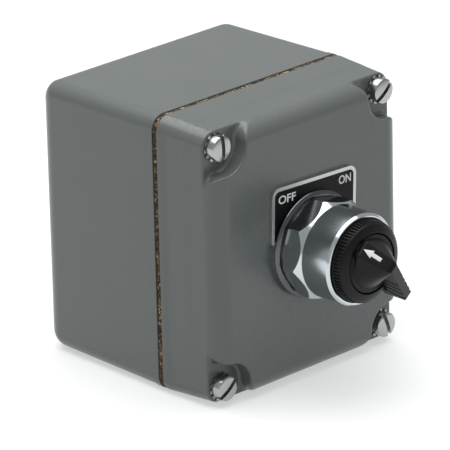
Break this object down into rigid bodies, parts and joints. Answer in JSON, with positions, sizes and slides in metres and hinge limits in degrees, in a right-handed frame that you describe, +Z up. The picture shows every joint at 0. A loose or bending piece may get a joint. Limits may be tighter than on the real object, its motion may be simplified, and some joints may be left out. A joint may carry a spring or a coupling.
{
  "type": "selector switch station",
  "caption": "Cast wall box with a gasketed cover, a lever selector knob in a chrome ring nut, a legend plate, and contact circuits worked by a slanted cam.",
  "frame": {"origin": "centre of the flat back face that goes against the wall", "axes": "+Z up, +X to the right of someone facing the switch, +Y into the wall; the knob faces -Y"},
  "size_m": [0.095, 0.1341, 0.1046],
  "materials": {
    "grey_enamel": "cast aluminium, sprayed grey enamel, semi-gloss",
    "cork": "pressed granulated cork, squeezed between the castings",
    "bright_zinc": "steel, bright zinc plated",
    "black_anodised": "aluminium sheet, black field with a bright border",
    "chrome": "polished chromium plate on zinc",
    "black_plastic": "moulded nylon, satin black",
    "white_plastic": "moulded white insert",
    "black_rubber": "moulded nitrile rubber",
    "zinc_casting": "die-cast, as cast",
    "steel": "turned or drawn steel",
    "brown_phenolic": "moulded phenolic",
    "ivory_nylon": "moulded nylon",
    "copper_alloy": "stamped copper alloy with silver tips",
    "green_screw": "steel, dyed green"
  },
  "bodies": {
    "station": {"back_box": "grey_enamel", "cover": "grey_enamel", "cover_gasket": "cork", "cover_screws": "bright_zinc", "cover_lock_washers": "bright_zinc", "ground_screw": "green_screw", "legend_plate": "black_anodised", "panel_gasket": "black_rubber", "trim_washer": "chrome", "ring_nut": "chrome", "operator_body": "zinc_casting", "bezel_ring": "black_plastic", "shaft_seal": "black_rubber", "detent_ball": "steel", "detent_spring": "steel", "stop_pin": "steel", "guide_plate": "steel", "contact_block": "brown_phenolic", "block_screws": "bright_zinc", "off_return_spring": "steel", "on_return_spring": "steel", "fixed_contacts": "copper_alloy", "terminal_clamps": "bright_zinc", "terminal_screws": "bright_zinc"},
    "knob": {"selector_knob": "black_plastic", "arrow_insert": "white_plastic", "knob_shaft": "steel", "retaining_clip": "steel", "cam": "ivory_nylon", "cam_screw": "bright_zinc"},
    "off_plunger": {"off_push_rod": "steel", "off_carrier": "ivory_nylon", "off_bridge": "copper_alloy", "off_contact_spring": "steel"},
    "on_plunger": {"on_push_rod": "steel", "on_carrier": "ivory_nylon", "on_bridge": "copper_alloy", "on_contact_spring": "steel"}
  },
  "joints": [
    {"name": "knob_turn", "type": "hinge", "parent": "station", "child": "knob", "pos_m": [0, -0.1, -0.0005], "axis": [0, 1, 0], "range_deg": [0, 80]},
    {"name": "off_slide", "type": "slide", "parent": "station", "child": "off_plunger", "axis": [0, 1, 0], "range_m": [-0.003, 0], "deforming": ["off_return_spring"]},
    {"name": "on_slide", "type": "slide", "parent": "station", "child": "on_plunger", "axis": [0, 1, 0], "range_m": [0, 0.003], "deforming": ["on_return_spring"]}
  ],
  "couplings": [
    {"joint": "off_slide", "follows": "knob_turn", "m_per_rad": -0.0021483},
    {"joint": "on_slide", "follows": "knob_turn", "m_per_rad": 0.0021483}
  ]
}
